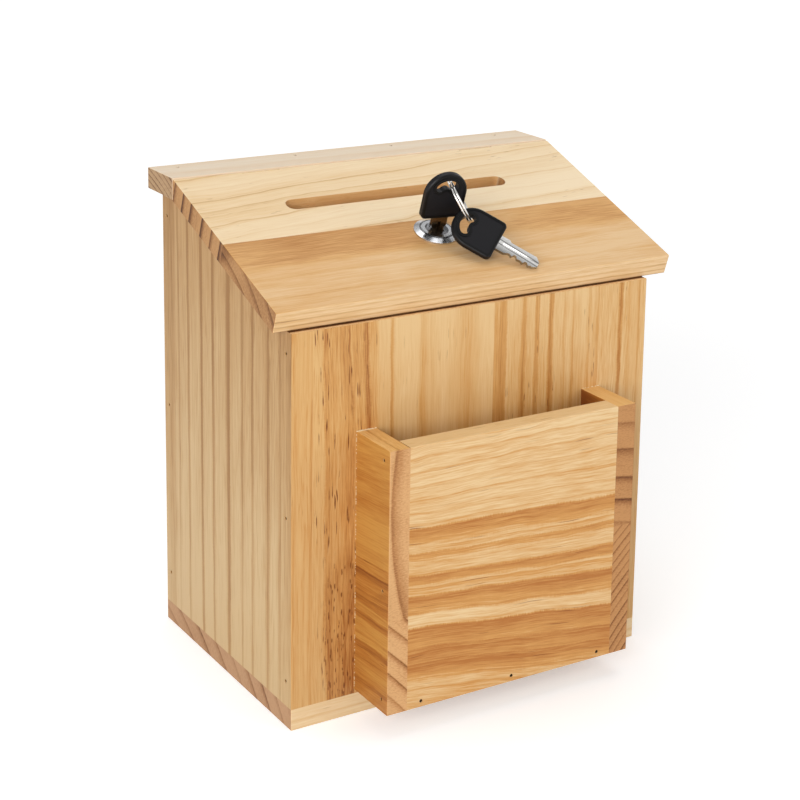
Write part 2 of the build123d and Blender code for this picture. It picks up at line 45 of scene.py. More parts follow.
class Flow:
    # wraps a shader socket, so that maths on it is written as plain expressions
    def __init__(self, tree, socket=None):
        self.tree = tree
        self.socket = socket

    def node(self, kind, settings=None, inputs=None, output=0):
        made = self.tree.nodes.new(kind)
        for name, value in (settings or {}).items():
            if name == "stops":
                fillRamp(made.color_ramp, value)
            else:
                setattr(made, name, value)
        for name, value in (inputs or {}).items():
            self.feed(made.inputs[name], value)
        return Flow(self.tree, made.outputs[output])

    def feed(self, socket, value):
        if isinstance(value, Flow):
            self.tree.links.new(value.socket, socket)
        else:
            socket.default_value = value

    def maths(self, operation, *values):
        return self.node("ShaderNodeMath", {"operation": operation}, dict(enumerate(values)))

    def __add__(self, other):
        return self.maths("ADD", self, other)

    def __sub__(self, other):
        return self.maths("SUBTRACT", self, other)

    def __rsub__(self, other):
        return self.maths("SUBTRACT", other, self)

    def __mul__(self, other):
        return self.maths("MULTIPLY", self, other)

    def __truediv__(self, other):
        return self.maths("DIVIDE", self, other)

    def __pow__(self, other):
        return self.maths("POWER", self, other)

    __radd__ = __add__
    __rmul__ = __mul__

    def absolute(self):
        return self.maths("ABSOLUTE", self)

    def floor(self):
        return self.maths("FLOOR", self)

    def larger(self, other):
        return self.maths("MAXIMUM", self, other)

    def dot(self, axis):
        return self.node("ShaderNodeVectorMath", {"operation": "DOT_PRODUCT"}, {0: self, 1: axis}, "Value")

    def along(self, axis, origin=(0, 0, 0)):
        # distance in millimetres from the origin along an axis
        return self.dot(axis) * 1000 - Vector(axis).dot(Vector(origin))

    def vector(self, x, y, z):
        return self.node("ShaderNodeCombineXYZ", None, {0: x, 1: y, 2: z})

    def noise(self, place, scale=1.0, detail=2.0, roughness=0.5):
        values = {"Vector": place, "Scale": scale, "Detail": detail, "Roughness": roughness}
        return self.node("ShaderNodeTexNoise", None, values, "Fac")

    def step(self, low, high):
        # 0 below low, 1 above high, smooth between
        values = {"Value": self, "From Min": low, "From Max": high}
        return self.node("ShaderNodeMapRange", {"interpolation_type": "SMOOTHSTEP"}, values)

    def ramp(self, stops):
        return self.node("ShaderNodeValToRGB", {"stops": stops}, {"Fac": self})

    def mix(self, factor, first, second):
        return self.node("ShaderNodeMix", {"data_type": "RGBA"}, {0: factor, 6: first, 7: second}, 2)


def fillRamp(ramp, stops):
    while len(ramp.elements) < len(stops):
        ramp.elements.new(1.0)
    # all the places come before the colours, because a stop that moves can change their order
    for element, (place, colour) in zip(ramp.elements, stops):
        element.position = place
    for element, (place, colour) in zip(ramp.elements, stops):
        element.color = colour if isinstance(colour, tuple) else (colour, colour, colour, 1)


def newMaterial(name, settings):
    # material with the given values on its shader's own sockets
    material = bpy.data.materials.new(name)
    material.use_nodes = True
    shader = material.node_tree.nodes["Principled BSDF"]
    for socket, value in settings.items():
        shader.inputs[socket].default_value = value
    return material, shader, Flow(material.node_tree)


def objectPlace(flow):
    return flow.node("ShaderNodeTexCoord", None, None, "Object")


def objectNormal(flow):
    return flow.node("ShaderNodeTexCoord", None, None, "Normal")


def dress(material, names):
    for name in names:
        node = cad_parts[name]
        node.data.materials.clear()
        node.data.materials.append(material)


# Pine. A board has unit vectors along and across its grain, and u, v and w are the places along them
# and through the board. All lengths are in millimetres, and darkness runs from 0 to 1 through the tones.
pineFinish = {"Specular IOR Level": 0.35, "Coat Weight": 0.05, "Coat Roughness": 0.3}
# length, width and depth of the grains of each noise
grains = {"shiver": (14, 9, 9), "feather": (0.9, 7, 7), "sway": (70, 60, 30), "cloud": (60, 20, 20),
          "fibre": (16, 0.6, 0.6), "vein": (120, 1.9, 1.9), "zone": (45, 12, 12), "pores": (2, 0.6, 1.6)}
waveWidth = 45
swayDepth = 4.0
threadWidth = 0.05
seedSpread = 37.0           # keeps the noises of the boards apart
squareOn = (0.6, 0.85)      # how squarely a face looks along an axis, from not at all to fully
fleckTint = (0.5, 0.38, 0.3)        # what is left of a board's darkest tone in a fleck
# one growth ring, from its early wood to its late wood
lateWood = [(0.0, 0.3), (0.06, 0.02), (0.35, 0.08), (0.38, 0.2), (0.42, 0.06), (0.66, 0.15), (0.88, 0.65),
            (0.95, 1.0), (0.98, 0.9), (1.0, 0.3)]
alongX = (1, 0, 0)
alongY = (0, 1, 0)
alongZ = (0, 0, 1)
slope = math.radians(19.6)
upSlope = (0, math.cos(slope), math.sin(slope))
lidEdge = (0, -54, 199.185)     # front top edge of the lid


def waver(flow, place, size, seed=0.0, detail=2.0, roughness=0.5):
    # noise about zero, its grains as long, wide and deep as the size
    cells = flow.vector(place[0] / size[0] + seed, place[1] / size[1], place[2] / size[2])
    return flow.noise(cells, 1.0, detail, roughness) - 0.5


def banded(place, bands):
    # darkness given at places along a line
    low, high = bands[0][0], bands[-1][0]
    return ((place - low) / (high - low)).ramp([((at - low) / (high - low), dark) for at, dark in bands])


def toned(darkness, tones):
    light, middle, dark = [tone + (1,) for tone in tones]
    return darkness.ramp([(0.0, light), (0.5, middle), (1.0, dark)])


def growth(flow, v, w, rings, seed):
    # growth rings round the pith, darker in some years than in others
    width, pith, phase = rings
    reach = ((v - pith[0]) * (v - pith[0]) + (w - pith[1]) * (w - pith[1])) ** 0.5
    uneven = flow.noise(flow.vector(reach / (2.5 * width), 0.5, seed), 1.0, 1.0) - 0.5
    turn = reach / width + uneven * 0.8 + phase
    year = turn.floor()
    fresh = flow.node("ShaderNodeTexWhiteNoise", {"noise_dimensions": "1D"}, {"W": year + seed})
    return (turn - year).ramp(lateWood) * (0.45 + 0.55 * fresh)


def dashes(flow, place, length, width, density):
    # short strokes along the grain, scattered at random and uneven in length and width
    cells = flow.vector(place[0] / length, place[1] / width, place[2] / width)
    cell = flow.node("ShaderNodeTexVoronoi", None, {"Vector": cells, "Scale": 1.0})
    chance = Flow(flow.tree, cell.socket.node.outputs["Color"])
    ragged = cell + waver(flow, place, (length * 0.3, width * 1.5, width * 1.5)) * 0.5
    return (1 - ragged.step(0.14, 0.36)) * chance.step(0.96 - density, 1.04 - density)


# What a board has if it doesn't say otherwise. Flecks have a length, width, density and strength, drift is a
# place along the grain and the darkness gained per millimetre past it, and lean and fan turn the bands.
# Rings have a width, the pith's place and a phase, resin has a patch's middle, spread, darkness and
# density of flecks, and the end bands shade the end grain along shares of v and w.
plainBoard = {
    "origin": (0, 0, 0), "wave": 3.0, "waveLength": 90.0, "shiver": 1.2, "feather": 0.6, "fan": 0.0,
    "lean": 0.0, "fibre": 0.7, "vein": 0.3, "cloud": 0.25, "thread": 0.12, "ringDepth": 0.3, "sharp": 1.0,
    "drift": (0, 0.0), "flecks": (9.0, 0.8, 0.10, 0.4), "endDepth": 1.0, "pores": 1.1,
}


def resinPatch(flow, board, place, seed, cloud):
    # brown of the resinous patch, and the many flecks in it
    u, v, w = place
    at, spread, tint, crowd = board["resin"]
    length, width = board["flecks"][:2]
    far = ((u - at[0]) / spread[0]) ** 2 + ((v - at[1]).absolute() / spread[1]) ** 2 + cloud * 1.5
    patch = 1 - far.step(0.35, 1.3)
    crowded = dashes(flow, (u, v + seed, w), length * 0.45, width * 1.2, crowd)
    return patch * tint, crowded * patch * 0.9


def endGrain(flow, board, place, seed, shiver, cloud):
    # colour of the sawn ends, with their rings and pores
    u, v, w = place
    ring = growth(flow, v + shiver * 0.4, w + shiver * 0.3, board["endRings"], seed)
    pores = waver(flow, place, grains["pores"], seed, 3.0, 0.65)
    darkness = ring * board["endDepth"] + pores * board["pores"] + cloud * 0.4
    # on the tops of the front staves and of the sides, the end bands are painted shade under the lid's front
    # edge
    if "endBands" in board:
        (vShare, wShare), stops = board["endBands"]
        darkness = darkness + banded(v * vShare + w * wShare, stops)
    return toned(darkness, board["ends"])


def pine(name, special):
    board = {**plainBoard, "ends": brownEnds, "endRings": special["rings"], **special}
    grain, across = board["grain"], board["across"]
    depth = tuple(Vector(grain).cross(Vector(across)))
    material, shader, flow = newMaterial(name, pineFinish)
    place, normal = objectPlace(flow), objectNormal(flow)
    straight = [place.along(axis, board["origin"]) for axis in (grain, across, depth)]
    u, v, w = straight
    seed = board["seed"] * seedSpread

    waves = (board["waveLength"], waveWidth, waveWidth)
    wander = waver(flow, straight, waves, seed) * (2 * board["wave"])
    shiver = waver(flow, straight, grains["shiver"], seed) * board["shiver"]
    feather = waver(flow, straight, grains["feather"], seed) * board["feather"]
    wavyV = v + wander + shiver + u * (v * board["fan"] + board["lean"])
    wavyW = w + waver(flow, straight, grains["sway"], seed, 1.0) * swayDepth
    wavy = (u, wavyV, wavyW)
    cloud = waver(flow, straight, grains["cloud"], seed)
    fibre = waver(flow, wavy, grains["fibre"], seed, 3.0, 0.65)
    vein = waver(flow, wavy, grains["vein"], seed, 2.0, 0.6)
    thread = 1 - vein.absolute().step(0.0, threadWidth)     # thin dark lines along the grain

    ring = growth(flow, wavyV, wavyW, board["rings"], seed) ** board["sharp"]
    texture = fibre * board["fibre"] + vein * board["vein"] + cloud * board["cloud"]
    texture = texture + thread * board["thread"]
    bands = banded(wavyV + feather, board["bands"])
    middle, change = board["drift"]
    darkness = bands + ring * board["ringDepth"] + texture + (u - middle) * change

    length, width, density, strength = board["flecks"]
    zone = (waver(flow, straight, grains["zone"], seed, 1.0) + bands * 0.12).step(-0.02, 0.14)
    fleck = dashes(flow, (u + seed, wavyV, wavyW), length, width, density) * zone * strength
    if "resin" in board:
        brown, crowded = resinPatch(flow, board, wavy, seed, cloud)
        darkness = darkness + brown
        fleck = fleck.larger(crowded)

    face = toned(darkness, board["tones"])
    if "edge" in board:
        # narrow faces and routed walls that look across the grain
        edgeFace = toned(banded(w, board["edge"]["bands"]) + texture, board["edge"]["tones"])
        face = flow.mix(normal.dot(across).absolute().step(*squareOn), face, edgeFace)
    fleckTone = [tone * left for tone, left in zip(board["tones"][2], fleckTint)]
    face = flow.mix(fleck, face, (*fleckTone, 1))
    ending = normal.dot(grain).absolute().step(*squareOn)
    colour = flow.mix(ending, face, endGrain(flow, board, straight, seed, shiver, cloud))
    flow.feed(shader.inputs["Base Color"], colour)

    flow.feed(shader.inputs["Roughness"], 0.46 + darkness * 0.06 + fleck * 0.1 + ending * 0.25)
    relief = fibre * 0.7 - ring * 0.2 - thread * 0.2 - fleck * 0.8
    bump = flow.node("ShaderNodeBump", None, {"Strength": 0.3, "Distance": 0.0001, "Height": relief})
    flow.feed(shader.inputs["Normal"], bump)
    return material


creamTones = ((0.86, 0.69, 0.46), (0.77, 0.55, 0.30), (0.55, 0.31, 0.12))
sideTones = ((0.605, 0.415, 0.20), (0.475, 0.27, 0.095), (0.31, 0.145, 0.032))
stripTones = ((0.84, 0.70, 0.53), (0.78, 0.58, 0.37), (0.58, 0.36, 0.18))
paleTones = ((0.71, 0.475, 0.225), (0.59, 0.305, 0.09), (0.40, 0.155, 0.026))
peachTones = ((0.75, 0.51, 0.27), (0.66, 0.365, 0.13), (0.44, 0.185, 0.04))
amberTones = ((0.68, 0.42, 0.17), (0.58, 0.29, 0.085), (0.33, 0.11, 0.02))
pocketTones = ((0.76, 0.545, 0.29), (0.60, 0.295, 0.08), (0.42, 0.15, 0.027))
honeyTones = ((0.54, 0.265, 0.058), (0.42, 0.16, 0.027), (0.22, 0.06, 0.008))
baseTones = ((0.84, 0.65, 0.40), (0.74, 0.50, 0.25), (0.52, 0.28, 0.10))
topTones = ((0.78, 0.56, 0.30), (0.68, 0.44, 0.19), (0.42, 0.22, 0.07))
warmTones = ((0.80, 0.50, 0.20), (0.68, 0.37, 0.11), (0.40, 0.17, 0.035))
frontTones = ((0.84, 0.62, 0.37), (0.70, 0.44, 0.20), (0.32, 0.14, 0.04))
# lighter and more orange than the lid's wood: painted light of the bounce inside the slot
slotBounceTones = ((0.86, 0.56, 0.27), (0.70, 0.37, 0.13), (0.30, 0.11, 0.025))
brownEnds = ((0.50, 0.265, 0.105), (0.27, 0.115, 0.034), (0.08, 0.024, 0.005))
stripEnds = ((0.47, 0.30, 0.16), (0.23, 0.11, 0.042), (0.07, 0.025, 0.006))
baseEnds = ((0.52, 0.30, 0.16), (0.38, 0.19, 0.085), (0.14, 0.05, 0.018))
pinkEnds = ((0.66, 0.37, 0.16), (0.45, 0.205, 0.07), (0.18, 0.058, 0.012))
darkEnds = ((0.50, 0.245, 0.09), (0.30, 0.12, 0.036), (0.11, 0.03, 0.006))
openEnds = ((0.84, 0.58, 0.30), (0.50, 0.25, 0.08), (0.13, 0.045, 0.01))
plainEdge = [(-110, 0.25), (110, 0.25)]
# painted shade: dark line on the tops of the front staves and of the sides, under the lid's front edge
lidGapShade = [(-54, 0.0), (-52.2, 0.0), (-51.4, 1.0), (-49.8, 1.0), (-49.2, 0.15)]
frontTop = {"ends": openEnds, "endDepth": 0.2, "endBands": ((0, 1), lidGapShade)}
sideTop = {"ends": openEnds, "endDepth": 0.2, "endBands": ((1, 0), lidGapShade)}

boards = {
    "base_board": {
        "grain": alongX, "across": alongY, "tones": creamTones, "seed": 1, "rings": (11.5, (160, -160), 0.0),
        "wave": 1.2, "bands": [(-60, 0.3), (0, 0.2), (80, 0.3)], "ends": baseEnds, "endDepth": 0.9,
        "edge": {"tones": baseTones, "bands": [(0, 0.3), (3, 0.1), (4.5, 0.5), (5.5, 0.15), (10.5, 0.2)]}},
    "left_side_panel": {
        "grain": alongZ, "across": alongY, "tones": sideTones, "seed": 2, "rings": (13.0, (30, 260), 0.0),
        "ringDepth": 0.08, "wave": 1.8, "waveLength": 130, "shiver": 0.7, "flecks": (6, 0.5, 0.10, 0.3),
        # the drift darkens the panel towards its top: painted shade under the lid's overhang
        "vein": 0.35, "thread": 0.25, "drift": (100, 0.0035), **sideTop,
        "edge": {"tones": amberTones, "bands": [(84, 0.3), (90, 0.45), (91.5, 0.2), (96, 0.15),
                                                (100.5, 0.3)]},
        "bands": [(-54, 0.5), (-44, 0.3), (-43, 0.65), (-40, 0.15), (-33, 0.2), (-30.5, 0.9), (-29.7, 0.5),
                  (-27, 0.15), (-17, 0.1), (-14.8, 0.75), (-13, 0.1), (-6, 0.15), (-4.3, 0.65),
                  (-1.5, 0.05), (8, 0.2), (9.2, 1.0), (11.2, 0.7), (13.5, 0.1), (24, 0.1), (26.8, 0.85),
                  (28.3, 0.1), (37.5, 0.1), (39.3, 1.0), (41.5, 0.1), (53, 0.05), (55, 0.7), (56.8, 0.05),
                  (65, 0.15), (66, 0.55), (68, 0.05), (73.6, 0.5), (84, 0.2)]},
    "right_side_panel": {
        "grain": alongZ, "across": alongY, "tones": sideTones, "seed": 3, "rings": (13.0, (-20, -240), 0.0),
        "ringDepth": 0.12, "wave": 2.6, "waveLength": 130, "thread": 0.25, **sideTop,
        "edge": {"tones": paleTones, "bands": [(-94.5, 0.2), (-91, 0.2), (-90.2, 0.6), (-89.4, 0.25),
                                               (-86, 0.25), (-84, 0.5)]},
        "bands": [(-54, 0.2), (-40, 0.6), (-37, 0.15), (-22, 0.2), (-19, 0.75), (-15, 0.15), (-2, 0.7),
                  (2, 0.15), (15, 0.2), (19, 0.8), (22, 0.15), (34, 0.6), (38, 0.1), (49, 0.2), (53, 0.7),
                  (56, 0.2), (84, 0.3)]},
    "back_panel": {
        "grain": alongZ, "across": alongX, "tones": paleTones, "seed": 4, "rings": (11.0, (-20, 70), 0.0),
        "ringDepth": 0.5, "wave": 4.0, "bands": [(-90, 0.1), (-30, 0.3), (10, 0.1), (50, 0.4), (90, 0.15)]},
    "front_panel_stave_1": {
        "grain": alongZ, "across": alongX, "tones": amberTones, "seed": 5, "rings": (16.0, (-40, 120), 0.0),
        "ringDepth": 0.10, "wave": 2.0, "lean": 0.02, "waveLength": 120, "cloud": 0.6, "vein": 0.6,
        "fibre": 1.5, "feather": 1.2, "flecks": (13, 1.0, 0.42, 1.0),
        "resin": ((38, -72.5), (42, 11), 0.28, 0.8), **frontTop,
        "bands": [(-92, 0.25), (-88, 0.1), (-82, 0.15), (-80.5, 0.5), (-74, 0.35), (-67.5, 0.55),
                  (-66, 0.3), (-62, 0.3), (-60, 0.5), (-58.6, 0.75), (-57, 0.3), (-50, 0.15)]},
    "front_panel_stave_2": {
        "grain": alongZ, "across": alongX, "tones": paleTones, "seed": 6, "rings": (14.0, (-20, 300), 0.0),
        "ringDepth": 0.08, "wave": 1.2, "waveLength": 160, "cloud": 0.4, "flecks": (10, 0.5, 0.15, 0.5),
        "fibre": 0.5, "vein": 0.2, "drift": (165, -0.005), **frontTop,
        "bands": [(-57, 0.2), (-50.8, 0.1), (-49.8, 0.6), (-48, 0.1), (-37, 0.05), (-33.5, 0.42),
                  (-30, 0.2), (-22, 0.0), (-14, 0.2), (-9, 0.4), (-4, 0.25), (0, 0.05), (5.5, 0.05)]},
    "front_panel_stave_3": {
        "grain": alongZ, "across": alongX, "tones": paleTones, "seed": 7, "rings": (12.0, (60, 280), 0.0),
        "ringDepth": 0.08, "wave": 1.6, "waveLength": 90, "fibre": 0.9, "flecks": (9, 0.8, 0.35, 0.9),
        "drift": (170, -0.005), **frontTop,
        "bands": [(5.5, 0.6), (8, 0.45), (10, 0.7), (12.5, 0.5), (13.3, 0.1), (20, 0.1), (21.5, 0.4),
                  (23, 0.65), (24.6, 0.15), (28.4, 0.1), (29.3, 0.55), (31, 0.4), (31.8, 0.1), (36.2, 0.1),
                  (37.4, 0.75), (39.2, 0.5), (40, 0.1), (45, 0.1), (46.1, 0.4), (47.5, 0.1), (50, 0.1),
                  (50.9, 0.45), (52.3, 0.1), (59.3, 0.1), (60.4, 0.4), (61.8, 0.1), (66, 0.4)]},
    "front_panel_stave_4": {
        "grain": alongZ, "across": alongX, "tones": paleTones, "seed": 8, "rings": (16.0, (85, 200), 0.0),
        "ringDepth": 0.1, "wave": 2.2, "lean": -0.02, "fibre": 1.4, "flecks": (9, 0.8, 0.4, 0.9), **frontTop,
        "bands": [(62, 0.15), (70, 0.15), (73.5, 0.2), (74.9, 0.9), (76.2, 0.5), (76.8, 0.15), (79.8, 0.2),
                  (80.6, 0.5), (84, 0.25)]},
    "top_strip": {
        "grain": alongX, "across": alongY, "tones": stripTones, "seed": 9, "rings": (5.0, (120, 110), 0.0),
        "ringDepth": 0.15, "wave": 1.5, "bands": [(55, 0.1), (64, 0.3), (70, 0.05), (84, 0.25)],
        "ends": stripEnds, "endRings": (2.9, (120, 110), 0.0), "endDepth": 1.2, "pores": 1.6},
    "lid_rear_stave": {
        "grain": alongX, "across": upSlope, "origin": lidEdge, "tones": creamTones, "seed": 10,
        "lean": -0.08, "rings": (10.6, (-300, -5), 0.0), "ringDepth": 0.5, "sharp": 2.2, "wave": 4.0,
        "waveLength": 75, "shiver": 2.0, "fibre": 0.5, "flecks": (7, 0.6, 0.2, 0.6), "cloud": 0.35,
        "edge": {"tones": slotBounceTones, "bands": plainEdge}, "endDepth": 1.4, "drift": (40, -0.0014),
        "bands": [(50, 0.1), (60, 0.25), (62, 0.0), (76, 0.05), (88, 0.3), (94, 0.1), (104, 0.3),
                  (110, 0.05), (125, 0.2)]},
    "lid_front_stave": {
        "grain": alongX, "across": upSlope, "origin": lidEdge, "tones": peachTones, "seed": 11,
        "rings": (9.5, (75, -75), 0.0), "ringDepth": 0.1, "wave": 2.5, "cloud": 0.8,
        "flecks": (8, 0.6, 0.06, 0.3), "thread": 0.06, "vein": 0.15, "fibre": 1.0, "drift": (0, -0.001),
        "endRings": (9, (62, -90), 0.3), "endDepth": 0.8,
        "endBands": ((1, 0.9), [(20, 0.2), (38, 0.05), (46, 0.25), (49, 0.5), (56, 0.65)]),
        "edge": {"tones": frontTones,
                 # the darkest bands, at the bottom of the lid's front edge, are painted shade along its
                 # lower arris
                 "bands": [(-10.5, 1.0), (-10.1, 0.8), (-9.8, 0.3), (-8.5, 0.3), (-7.9, 0.75), (-7.2, 0.3),
                           (-5.6, 0.35), (-5.0, 0.65), (-4.3, 0.25), (-2.4, 0.3), (-1.9, 0.5), (-1.3, 0.2),
                           (0, 0.3)]},
        "bands": [(-4, 0.2), (9, 0.2), (10, 0.4), (12, 0.15), (24, 0.15), (25, 0.4), (30, 0.25), (38, 0.6),
                  (50, 0.6), (56.5, 0.7)]},
    "pocket_front": {
        "grain": alongX, "across": alongZ, "tones": pocketTones, "seed": 12, "rings": (6.6, (-300, 40), 0.0),
        "ringDepth": 0.3, "wave": 3.2, "waveLength": 60, "lean": 0.162, "fan": -0.0012, "shiver": 1.1,
        "feather": 1.3, "vein": 0.2, "fibre": 1.1, "cloud": 0.5, "flecks": (36, 0.7, 0.28, 0.8),
        "thread": 0.1, "edge": {"tones": topTones, "bands": plainEdge},
        "bands": [(8, 0.3), (18, 0.25), (21, 0.5), (24, 0.75), (28, 0.85), (28.6, 0.65), (34, 0.75),
                  (35, 0.9), (36, 0.6), (43, 0.8), (45, 0.95), (46, 0.15), (52, 0.12), (53, 0.45),
                  (60, 0.75), (61.4, 0.85), (62.4, 0.3), (67.5, 0.2), (69, 0.5), (72.5, 0.75),
                  (73.6, 0.25), (79.5, 0.15), (82, 0.4), (84.5, 0.65), (85.5, 0.2), (88, 0.2), (90, 0.5),
                  (95, 0.7), (97, 0.85), (98.2, 0.12), (140, 0.1)]},
    "pocket_left_lower": {
        "grain": alongY, "across": alongZ, "tones": honeyTones, "seed": 13, "rings": (7.6, (-60, -160), 0.0),
        "ringDepth": 0.2, "wave": 1.2, "ends": pinkEnds, "endRings": (7.8, (-180, -280), 0.3),
        "endDepth": 0.9, "fibre": 1.1, "lean": 0.05, "flecks": (12, 0.7, 0.3, 0.8), "vein": 0.8,
        "bands": [(12, 0.4), (16, 0.65), (18, 0.2), (26, 0.2), (28, 0.5), (29, 0.25), (33, 0.65),
                  (35.5, 0.6), (36.3, 0.1), (46, 0.05), (47, 0.35), (50, 0.6), (51, 0.15), (58, 0.35)]},
    "pocket_left_upper": {
        "grain": alongY, "across": alongZ, "tones": honeyTones, "seed": 14, "rings": (12.0, (105, 10), 0.6),
        "ringDepth": 0.2, "wave": 2.0, "ends": pinkEnds, "endRings": (18, (108.8, 118.6), 0.717),
        "endDepth": 0.85, "fibre": 1.1, "lean": 0.09, "flecks": (12, 0.7, 0.15, 0.7), "vein": 0.7,
        "edge": {"tones": warmTones, "bands": [(-68, 0.2), (-64, 0.2), (-63, 0.8), (-62, 0.3), (-57, 0.35)]},
        "bands": [(52, 0.4), (56, 0.6), (57, 0.35), (59, 0.7), (60, 0.4), (63, 0.45), (68, 0.65),
                  (68.8, 1.0), (69.6, 0.25), (73.5, 0.2), (74.2, 0.75), (75, 0.15), (90, 0.05), (98, 0.15),
                  (104, 0.4), (108, 0.15), (113, 0.4), (117, 0.2), (128, 0.1), (138, 0.2)]},
    "pocket_right_lower": {
        "grain": alongY, "across": alongZ, "tones": honeyTones, "seed": 15, "rings": (3.8, (-60, 150), 0.0),
        "wave": 1.0, "ends": darkEnds, "endRings": (3.6, (-140, 260), 0.0), "bands": [(12, 0.3), (78, 0.4)]},
    "pocket_right_upper": {
        "grain": alongY, "across": alongZ, "tones": honeyTones, "seed": 16, "rings": (13.0, (-100, 30), 0.0),
        "wave": 1.5, "ends": darkEnds, "edge": {"tones": warmTones, "bands": plainEdge},
        # the drift darkens the side towards the front panel: painted shade in the pocket's inner corner
        "drift": (-76, 0.03), "bands": [(78, 0.3), (138, 0.4)]},
    "pocket_bottom": {
        "grain": alongX, "across": alongY, "tones": honeyTones, "seed": 17, "rings": (9.0, (-70, 40), 0.0),
        "wave": 3.0, "bands": [(-84, 0.3), (-54, 0.4)]},
}

for name, board in boards.items():
    dress(pine(name + "_pine", board), [name])
print("boards finished:", len(boards))


metals = {
    "aged_brass": {
        "colour": (0.86, 0.62, 0.36, 1), "roughness": 0.5, "mottle": 0.35, "scale": 900, "dents": 0.1,
        "nodes": ["left_hinge_fixed_leaf", "left_hinge_moving_leaf", "left_hinge_pin",
                  "right_hinge_fixed_leaf", "right_hinge_moving_leaf", "right_hinge_pin",
                  "hinge_lid_screws", "hinge_strip_screws"]},
    "lock_chrome": {
        "colour": (0.66, 0.67, 0.69, 1), "roughness": 0.2, "mottle": 0.05, "scale": 500, "dents": 0.05,
        "flangeShadeRadius": 8.2, "nodes": ["lock_housing"]},
    "plug_zinc": {
        "colour": (0.30, 0.30, 0.31, 1), "roughness": 0.22, "mottle": 0.3, "scale": 900, "dents": 0.2,
        "nodes": ["lock_plug"]},
    "zinc_steel": {
        "colour": (0.62, 0.62, 0.60, 1), "roughness": 0.36, "mottle": 0.25, "scale": 700, "dents": 0.1,
        "nodes": ["lock_nut", "lock_cam", "cam_screw", "keeper", "keeper_screws"]},
    "ring_nickel": {
        "colour": (0.80, 0.79, 0.77, 1), "roughness": 0.12, "mottle": 0.1, "scale": 900, "dents": 0.1,
        "nodes": ["split_ring"]},
    "key_nickel": {
        # colour darkened to brown: painted reflection of the lid's wood and painted shade under the key's
        # head
        "colour": (0.22, 0.15, 0.09, 1), "roughness": 0.2, "mottle": 0.2, "scale": 1100, "dents": 0.4,
        "key": "key", "nodes": ["key_blade"]},
    "spare_nickel": {
        "colour": (0.92, 0.91, 0.89, 1), "roughness": 0.2, "mottle": 0.15, "scale": 1100, "dents": 0.5,
        "grooveLightAndShade": [(-4, 0.5), (-3.4, 0.95), (-1.6, 0.75), (-1.1, 0.15), (-0.75, 0.9), (0, 1.0), (0.7, 0.8),
                    (1.05, 0.12), (1.5, 0.7), (2.6, 0.6), (4, 0.35)],
        "nodes": ["spare_key_blade"]},
}
# dark end of every metal's colour: real tarnish, and the painted shade of grooves, edges and the flange's
# groove
tarnishAndShade = (0.02, 0.015, 0.01, 1)
grooveShade = 0.3       # brightness of the painted shade in a blade's groove and on its cut edges
flangeShade = 0.15       # brightness of the painted shade in the groove round the lock's flange
flangeShadeWidth = (0.1, 0.45)
# middle plane of each key: its normal and a point on it, in millimetres
keyPlanes = {"key": ((0.07846, 0.93915, 0.33442), (-1.5, -15.098, 222.593)),
             "spare": ((0.18248, 0.73174, -0.6567), (17.3, -37.803, 212.427))}
lockCentre = (-1.5, -12.08, 214.11)
# direction across the spare blade, and a point in its groove
bladeAcross = ((-0.7476, -0.3305, -0.576), (25.31, -44.68, 207.0))
bladeFace = (0.6, 0.9)      # distances from the middle plane between the groove's floor and the blade's face
headFace = (1.45, 1.6)      # and between the head's sunken field and its rim


def fromMiddle(place, key, limits):
    # 0 near the middle plane of a key, 1 at its outer faces
    normal, point = keyPlanes[key]
    return place.along(normal, point).absolute().step(*limits)


def metal(name, finish):
    material, shader, flow = newMaterial(name, {"Metallic": 1.0})
    place = objectPlace(flow)
    mottle = flow.noise(place, finish["scale"], 3.0, 0.6) - 0.5
    worn = flow.noise(place, finish["scale"] / 6) - 0.5
    shade = 1 - finish["mottle"] * (0.5 + mottle)
    if "key" in finish:
        # painted shade: the groove and the cut edges of the blade, near its middle plane, are darker
        outer = fromMiddle(place, finish["key"], bladeFace)
        shade = shade * (grooveShade + (1 - grooveShade) * outer)
    if "grooveLightAndShade" in finish:
        # painted highlights and shade: bright and dark lines along the groove of the blade
        shade = shade * banded(place.along(*bladeAcross), finish["grooveLightAndShade"])
    if "flangeShadeRadius" in finish:
        # painted shade: dark line round the lock's flange, along its groove
        sides = [place.along(axis, lockCentre) for axis in (alongX, upSlope)]
        radius = (sides[0] * sides[0] + sides[1] * sides[1]) ** 0.5
        unshaded = (radius - finish["flangeShadeRadius"]).absolute().step(*flangeShadeWidth)
        shade = shade * (flangeShade + (1 - flangeShade) * unshaded)
    flow.feed(shader.inputs["Base Color"], flow.mix(shade, tarnishAndShade, finish["colour"]))
    roughness = finish["roughness"] + worn * 0.12 + mottle * finish["mottle"] * 0.2
    flow.feed(shader.inputs["Roughness"], roughness)
    values = {"Strength": finish["dents"], "Distance": 0.00003, "Height": mottle + worn}
    flow.feed(shader.inputs["Normal"], flow.node("ShaderNodeBump", None, values))
    return material


metalMaterials = {name: metal(name, finish) for name, finish in metals.items()}
for name, material in metalMaterials.items():
    dress(material, metals[name]["nodes"])


def bradShadedSteel():
    # near black, dull heads: painted shade of their sunk holes over the steel, speckled at random
    material, shader, flow = newMaterial("brad_steel", {"Roughness": 0.8, "Specular IOR Level": 0.1})
    speckle = flow.noise(objectPlace(flow), 1800.0, 3.0, 0.6)
    flow.feed(shader.inputs["Base Color"], flow.mix(speckle, (0.012, 0.006, 0.003, 1), (0.03, 0.014, 0.006, 1)))
    return material


dress(bradShadedSteel(), ["base_brads", "left_side_brads", "right_side_brads", "strip_brads", "pocket_side_brads",
                    "pocket_front_brads"])


